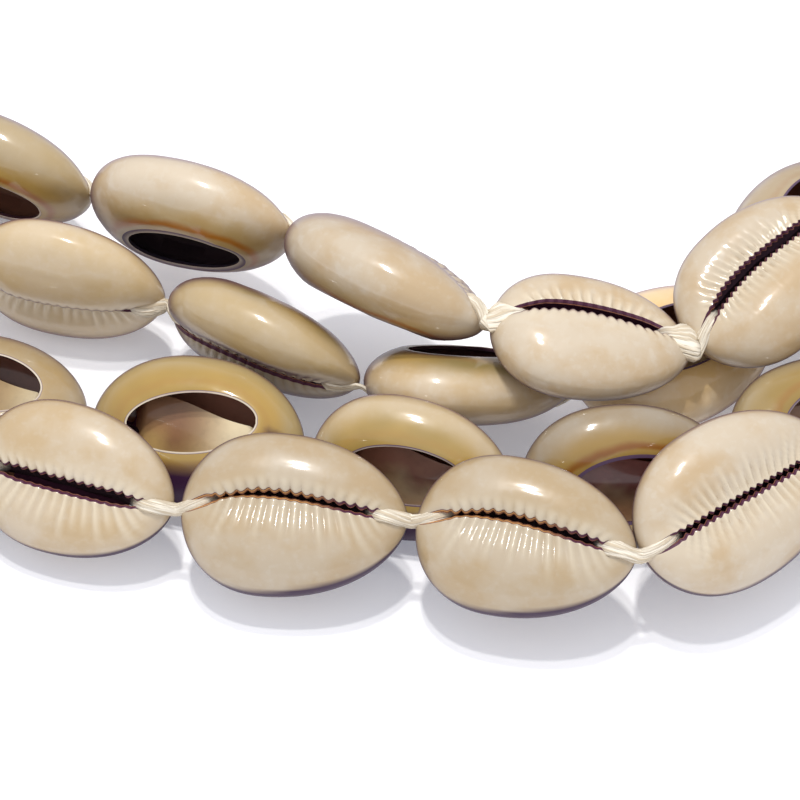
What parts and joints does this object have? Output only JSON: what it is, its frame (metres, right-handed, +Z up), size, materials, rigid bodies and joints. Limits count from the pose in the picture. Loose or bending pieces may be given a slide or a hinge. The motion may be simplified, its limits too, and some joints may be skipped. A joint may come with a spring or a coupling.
{
  "type": "cowrie shell necklace",
  "caption": "Necklace of nested strands of cowrie shells with cut backs, strung tip to tip on thread and gathered in one tie at the back, laid in closed loops on a surface.",
  "frame": {"origin": "middle of the necklace's outline, on the surface that it lies on", "axes": "+Z up, -Y towards the front of the loop that the picture shows, +X to the right as seen in the picture"},
  "size_m": [0.2472, 0.2064, 0.0188],
  "materials": {
    "shell": "naturally glossy cream shell with a golden ring and a purple inside",
    "thread": "off-white fibrous thread"
  },
  "bodies": {
    "root": {"inner_strand_shells": "shell", "second_strand_shells": "shell", "third_strand_shells": "shell", "outer_strand_shells": "shell", "inner_thread": "thread", "second_thread": "thread", "third_thread": "thread", "outer_thread": "thread", "back_tie": "thread"}
  },
  "joints": []
}
